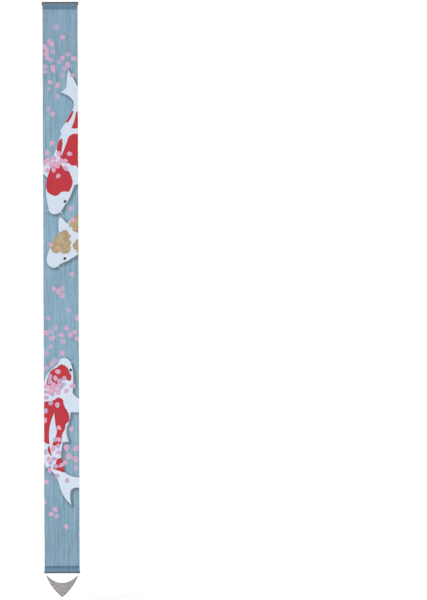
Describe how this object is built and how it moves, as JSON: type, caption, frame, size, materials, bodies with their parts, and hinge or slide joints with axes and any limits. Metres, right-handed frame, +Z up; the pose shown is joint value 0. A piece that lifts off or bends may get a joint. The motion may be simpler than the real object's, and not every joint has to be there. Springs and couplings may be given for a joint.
{
  "type": "hanging cloth banner",
  "caption": "Long narrow painted hemp banner hanging from a top rod, with a bottom rod sewn into the hem and a small linen pendant on threads.",
  "frame": {"origin": "middle of the top rod's axis, which the banner hangs by", "axes": "+Z up, the painted front faces -Y, the rods lie along X"},
  "size_m": [0.104, 0.0106, 1.7],
  "materials": {
    "banner_cloth": "matte woven hemp, dyed grey blue, painted with carp and petals",
    "rod_wood": "satin dark stained",
    "seam_thread": "matte sewing thread",
    "pendant_linen": "matte coarse linen",
    "tie_thread": "matte undyed thread"
  },
  "bodies": {
    "top_rod": {"top_rod": "rod_wood"},
    "top_sleeve": {"top_sleeve": "banner_cloth", "top_seam_front_thread": "seam_thread", "top_seam_back_thread": "seam_thread"},
    "cloth_01": {"cloth_01": "banner_cloth"},
    "cloth_02": {"cloth_02": "banner_cloth"},
    "cloth_03": {"cloth_03": "banner_cloth"},
    "cloth_04": {"cloth_04": "banner_cloth"},
    "cloth_05": {"cloth_05": "banner_cloth"},
    "cloth_06": {"cloth_06": "banner_cloth"},
    "cloth_07": {"cloth_07": "banner_cloth"},
    "cloth_08": {"cloth_08": "banner_cloth"},
    "cloth_09": {"cloth_09": "banner_cloth"},
    "cloth_10": {"cloth_10": "banner_cloth"},
    "cloth_11": {"cloth_11": "banner_cloth"},
    "cloth_12": {"cloth_12": "banner_cloth"},
    "bottom_sleeve": {"bottom_sleeve": "banner_cloth", "bottom_seam_front_thread": "seam_thread", "bottom_seam_back_thread": "seam_thread"},
    "bottom_rod": {"bottom_rod": "rod_wood"},
    "pendant": {"pendant": "pendant_linen", "left_tie_thread": "tie_thread", "right_tie_thread": "tie_thread"}
  },
  "joints": [
    {"name": "banner_swing", "type": "hinge", "parent": "top_rod", "child": "top_sleeve", "pos_m": [0, 0, 0], "axis": [-1, 0, 0], "range_deg": [-60, 60]},
    {"name": "top_fold", "type": "hinge", "parent": "top_sleeve", "child": "cloth_01", "pos_m": [0, 0, -0.01585], "axis": [1, 0, 0], "range_deg": [-50, 50]},
    {"name": "fold_01", "type": "hinge", "parent": "cloth_01", "child": "cloth_02", "pos_m": [0, 0, -0.1482], "axis": [-1, 0, 0], "range_deg": [-50, 50]},
    {"name": "fold_02", "type": "hinge", "parent": "cloth_02", "child": "cloth_03", "pos_m": [0, 0, -0.2807], "axis": [1, 0, 0], "range_deg": [-50, 50]},
    {"name": "fold_03", "type": "hinge", "parent": "cloth_03", "child": "cloth_04", "pos_m": [0, 0, -0.4132], "axis": [-1, 0, 0], "range_deg": [-50, 50]},
    {"name": "fold_04", "type": "hinge", "parent": "cloth_04", "child": "cloth_05", "pos_m": [0, 0, -0.5457], "axis": [1, 0, 0], "range_deg": [-50, 50]},
    {"name": "fold_05", "type": "hinge", "parent": "cloth_05", "child": "cloth_06", "pos_m": [0, 0, -0.6782], "axis": [-1, 0, 0], "range_deg": [-50, 50]},
    {"name": "fold_06", "type": "hinge", "parent": "cloth_06", "child": "cloth_07", "pos_m": [0, 0, -0.8107], "axis": [1, 0, 0], "range_deg": [-50, 50]},
    {"name": "fold_07", "type": "hinge", "parent": "cloth_07", "child": "cloth_08", "pos_m": [0, 0, -0.9432], "axis": [-1, 0, 0], "range_deg": [-50, 50]},
    {"name": "fold_08", "type": "hinge", "parent": "cloth_08", "child": "cloth_09", "pos_m": [0, 0, -1.0757], "axis": [1, 0, 0], "range_deg": [-50, 50]},
    {"name": "fold_09", "type": "hinge", "parent": "cloth_09", "child": "cloth_10", "pos_m": [0, 0, -1.2082], "axis": [-1, 0, 0], "range_deg": [-50, 50]},
    {"name": "fold_10", "type": "hinge", "parent": "cloth_10", "child": "cloth_11", "pos_m": [0, 0, -1.3407], "axis": [1, 0, 0], "range_deg": [-50, 50]},
    {"name": "fold_11", "type": "hinge", "parent": "cloth_11", "child": "cloth_12", "pos_m": [0, 0, -1.4732], "axis": [-1, 0, 0], "range_deg": [-50, 50]},
    {"name": "bottom_fold", "type": "hinge", "parent": "cloth_12", "child": "bottom_sleeve", "pos_m": [0, 0, -1.60555], "axis": [1, 0, 0], "range_deg": [-50, 50]},
    {"name": "pendant_swing", "type": "hinge", "parent": "bottom_sleeve", "child": "pendant", "pos_m": [0, 0, -1.6234], "axis": [1, 0, 0], "range_deg": [-90, 90]},
    {"name": "bottom_rod_slide", "type": "slide", "parent": "bottom_sleeve", "child": "bottom_rod", "axis": [1, 0, 0], "range_m": [-0.08, 0.08]}
  ]
}
